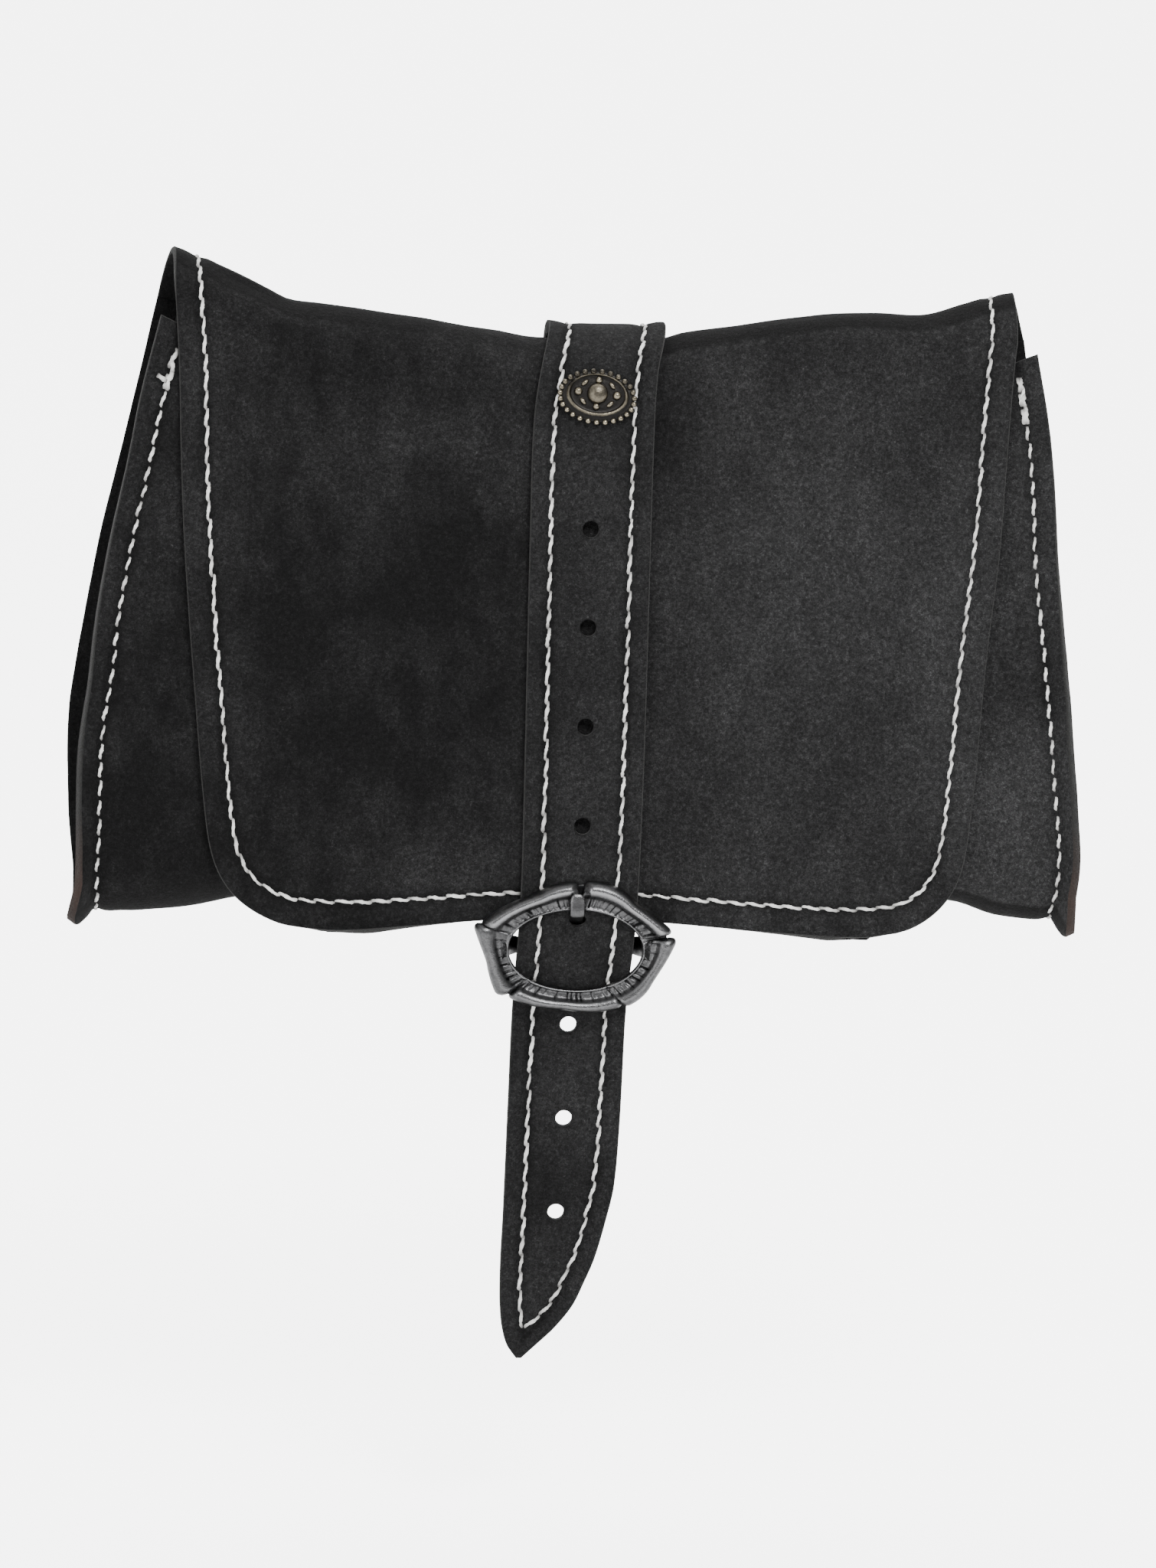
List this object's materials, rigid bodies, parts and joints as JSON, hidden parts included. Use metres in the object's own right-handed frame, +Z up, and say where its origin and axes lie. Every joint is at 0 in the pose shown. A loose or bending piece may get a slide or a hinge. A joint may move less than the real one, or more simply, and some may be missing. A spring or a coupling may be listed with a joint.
{
  "type": "suede belt pouch with a buckled flap strap",
  "caption": "Flapped suede belt pouch with side gussets; a strap forms its belt loop, crosses the flap and fastens in a cast buckle.",
  "frame": {"origin": "in the belt loop, midway between the pouch's back and the strap, just under the top of the loop", "axes": "+Z up as worn, -Y out of the flap towards the viewer, +X to the viewer's right"},
  "size_m": [0.2577, 0.0721, 0.2764],
  "materials": {
    "body_suede": "black suede, matt, with a mottled nap",
    "strap_suede": "black suede, matt, with pale thread along both edges",
    "buckle_metal": "dark antiqued casting, worn bright along its ridges",
    "concho_metal": "dark antiqued casting with bright beads",
    "thread": "thick pale waxed thread"
  },
  "bodies": {
    "root": {"body_flap": "body_suede", "gusset_left": "body_suede", "gusset_right": "body_suede", "flap_strap": "strap_suede", "buckle_strap": "strap_suede", "buckle_frame": "buckle_metal", "buckle_tongue": "buckle_metal", "concho": "concho_metal"}
  },
  "joints": []
}
